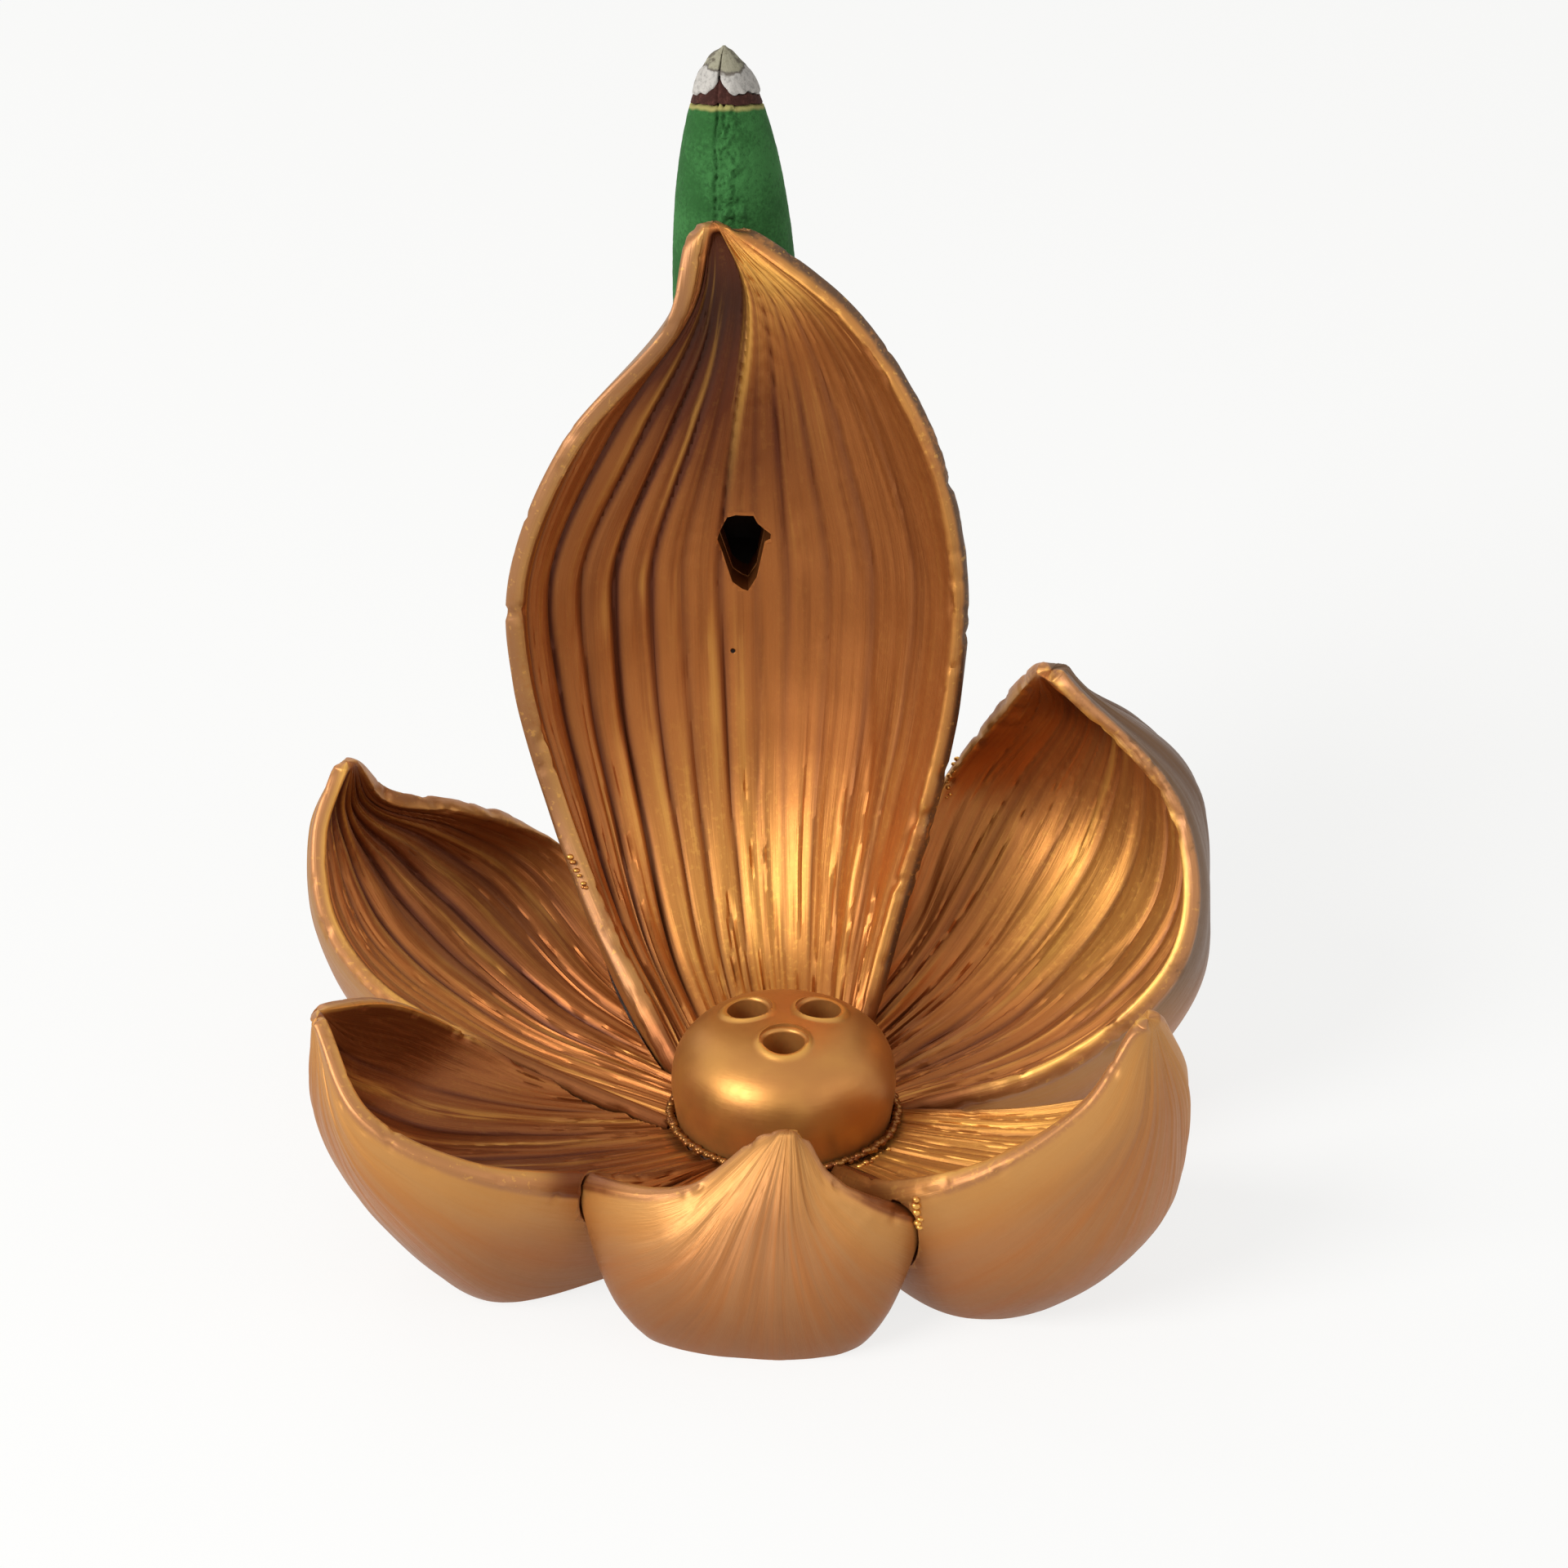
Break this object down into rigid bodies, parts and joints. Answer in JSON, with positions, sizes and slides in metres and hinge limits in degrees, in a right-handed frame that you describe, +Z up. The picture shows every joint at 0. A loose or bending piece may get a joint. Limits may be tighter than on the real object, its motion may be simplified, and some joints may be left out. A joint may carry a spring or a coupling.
{
  "type": "backflow incense burner",
  "caption": "Lotus-shaped resin backflow incense burner: a tall rear petal hides the cone stand, and smoke flows from its throat over the seed pod.",
  "frame": {"origin": "centre of the flat underside, below the seed pod", "axes": "+Z up through the seed pod, +Y towards the tall rear petal and the cone, +X to the right seen from the front"},
  "size_m": [0.1023, 0.1002, 0.116],
  "materials": {
    "gold_resin": "cast resin in satin copper-gold paint, brown in the grooves",
    "gold_pod": "cast resin in smooth satin gold paint",
    "bare_resin": "bare cast resin, unpainted where the petals cover it",
    "plate_metal": "thin pressed steel",
    "green_incense": "pressed green incense powder",
    "char": "charred incense powder",
    "ash": "light grey ash"
  },
  "bodies": {
    "root": {"receptacle_hub": "bare_resin", "seed_pod": "gold_pod", "tall_rear_petal": "gold_resin", "rear_left_petal": "gold_resin", "rear_right_petal": "gold_resin", "front_petal": "gold_resin", "front_left_petal": "gold_resin", "front_right_petal": "gold_resin", "cone_stand": "gold_resin", "seat_disc": "plate_metal"},
    "cone": {"incense_cone": "green_incense", "cone_char_band": "char", "cone_ash_tip": "ash"}
  },
  "joints": [
    {"name": "cone_lift", "type": "slide", "parent": "root", "child": "cone", "axis": [0, 0, 1], "range_m": [0, 0.045]}
  ]
}
